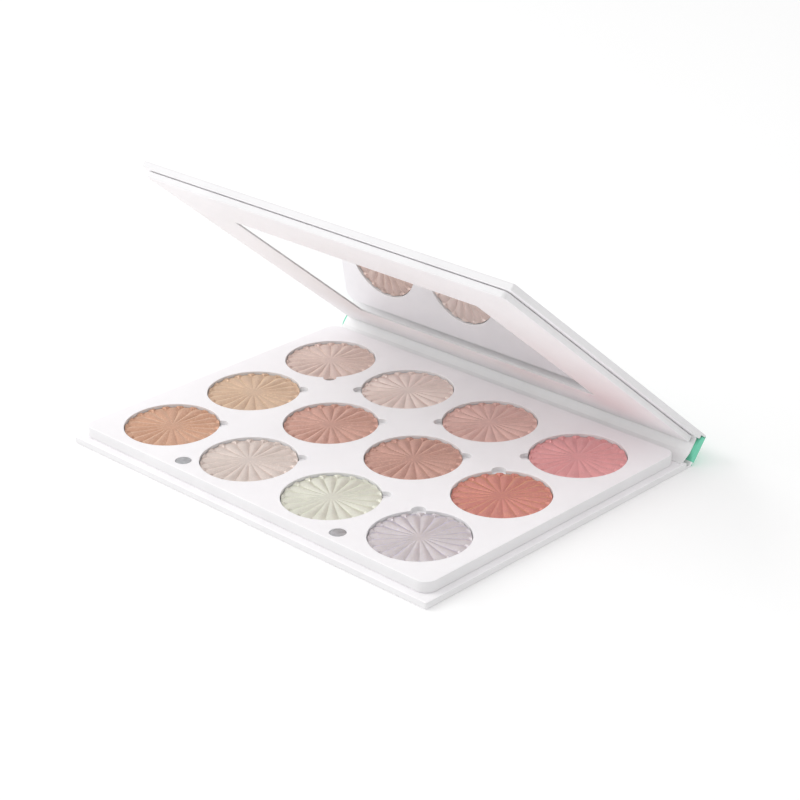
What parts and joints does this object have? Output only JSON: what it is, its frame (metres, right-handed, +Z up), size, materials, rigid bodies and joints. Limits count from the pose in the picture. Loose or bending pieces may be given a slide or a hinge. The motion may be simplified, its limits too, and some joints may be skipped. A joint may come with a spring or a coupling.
{
  "type": "pressed powder palette",
  "caption": "Hinged card case with a mirror inside its lid and a tray of round lift-out pans of pressed powder, each embossed with a sunburst; magnets hold it shut.",
  "frame": {"origin": "middle of the base board's underside, the face it rests on", "axes": "+X along the hinge edge, towards the right-hand closing magnet; +Y from the opening edge towards the hinge; +Z up, out of the tray"},
  "size_m": [0.1894, 0.1545, 0.1047],
  "materials": {
    "card": "satin",
    "mint_card": "satin",
    "lining": "satin",
    "magnetic_sheet": "matte",
    "tinplate": "satin",
    "steel_discs": "satin",
    "mirror": "polished",
    "powder_front_1": "satin",
    "powder_front_2": "satin",
    "powder_front_3": "satin",
    "powder_front_4": "satin",
    "powder_middle_1": "satin",
    "powder_middle_2": "satin",
    "powder_middle_3": "satin",
    "powder_middle_4": "satin",
    "powder_rear_1": "satin",
    "powder_rear_2": "satin",
    "powder_rear_3": "satin",
    "powder_rear_4": "satin"
  },
  "bodies": {
    "base": {"base_board": "card", "magnetic_sheet": "magnetic_sheet", "tray": "card", "tray_magnet_left": "steel_discs", "tray_magnet_right": "steel_discs"},
    "spine": {"spine_board": "mint_card", "spine_liner": "lining"},
    "lid": {"lid_board": "card", "mirror_frame": "card", "mirror": "mirror", "lid_steel_disc_left": "steel_discs", "lid_steel_disc_right": "steel_discs"},
    "refill_front_1": {"pan_front_1": "tinplate", "powder_front_1": "powder_front_1"},
    "refill_front_2": {"pan_front_2": "tinplate", "powder_front_2": "powder_front_2"},
    "refill_front_3": {"pan_front_3": "tinplate", "powder_front_3": "powder_front_3"},
    "refill_front_4": {"pan_front_4": "tinplate", "powder_front_4": "powder_front_4"},
    "refill_middle_1": {"pan_middle_1": "tinplate", "powder_middle_1": "powder_middle_1"},
    "refill_middle_2": {"pan_middle_2": "tinplate", "powder_middle_2": "powder_middle_2"},
    "refill_middle_3": {"pan_middle_3": "tinplate", "powder_middle_3": "powder_middle_3"},
    "refill_middle_4": {"pan_middle_4": "tinplate", "powder_middle_4": "powder_middle_4"},
    "refill_rear_1": {"pan_rear_1": "tinplate", "powder_rear_1": "powder_rear_1"},
    "refill_rear_2": {"pan_rear_2": "tinplate", "powder_rear_2": "powder_rear_2"},
    "refill_rear_3": {"pan_rear_3": "tinplate", "powder_rear_3": "powder_rear_3"},
    "refill_rear_4": {"pan_rear_4": "tinplate", "powder_rear_4": "powder_rear_4"}
  },
  "joints": [
    {"name": "spine_hinge", "type": "hinge", "parent": "base", "child": "spine", "pos_m": [0, 0.0731, 0], "axis": [-1, 0, 0], "range_deg": [-40.5, 49.5]},
    {"name": "lid_hinge", "type": "hinge", "parent": "spine", "child": "lid", "pos_m": [0, 0.08158, 0.00992], "axis": [-1, 0, 0], "range_deg": [0, 90]},
    {"name": "refill_front_1_lift", "type": "slide", "parent": "base", "child": "refill_front_1", "axis": [0, 0, 1], "range_m": [0, 0.012]},
    {"name": "refill_front_2_lift", "type": "slide", "parent": "base", "child": "refill_front_2", "axis": [0, 0, 1], "range_m": [0, 0.012]},
    {"name": "refill_front_3_lift", "type": "slide", "parent": "base", "child": "refill_front_3", "axis": [0, 0, 1], "range_m": [0, 0.012]},
    {"name": "refill_front_4_lift", "type": "slide", "parent": "base", "child": "refill_front_4", "axis": [0, 0, 1], "range_m": [0, 0.012]},
    {"name": "refill_middle_1_lift", "type": "slide", "parent": "base", "child": "refill_middle_1", "axis": [0, 0, 1], "range_m": [0, 0.012]},
    {"name": "refill_middle_2_lift", "type": "slide", "parent": "base", "child": "refill_middle_2", "axis": [0, 0, 1], "range_m": [0, 0.012]},
    {"name": "refill_middle_3_lift", "type": "slide", "parent": "base", "child": "refill_middle_3", "axis": [0, 0, 1], "range_m": [0, 0.012]},
    {"name": "refill_middle_4_lift", "type": "slide", "parent": "base", "child": "refill_middle_4", "axis": [0, 0, 1], "range_m": [0, 0.012]},
    {"name": "refill_rear_1_lift", "type": "slide", "parent": "base", "child": "refill_rear_1", "axis": [0, 0, 1], "range_m": [0, 0.012]},
    {"name": "refill_rear_2_lift", "type": "slide", "parent": "base", "child": "refill_rear_2", "axis": [0, 0, 1], "range_m": [0, 0.012]},
    {"name": "refill_rear_3_lift", "type": "slide", "parent": "base", "child": "refill_rear_3", "axis": [0, 0, 1], "range_m": [0, 0.012]},
    {"name": "refill_rear_4_lift", "type": "slide", "parent": "base", "child": "refill_rear_4", "axis": [0, 0, 1], "range_m": [0, 0.012]}
  ]
}
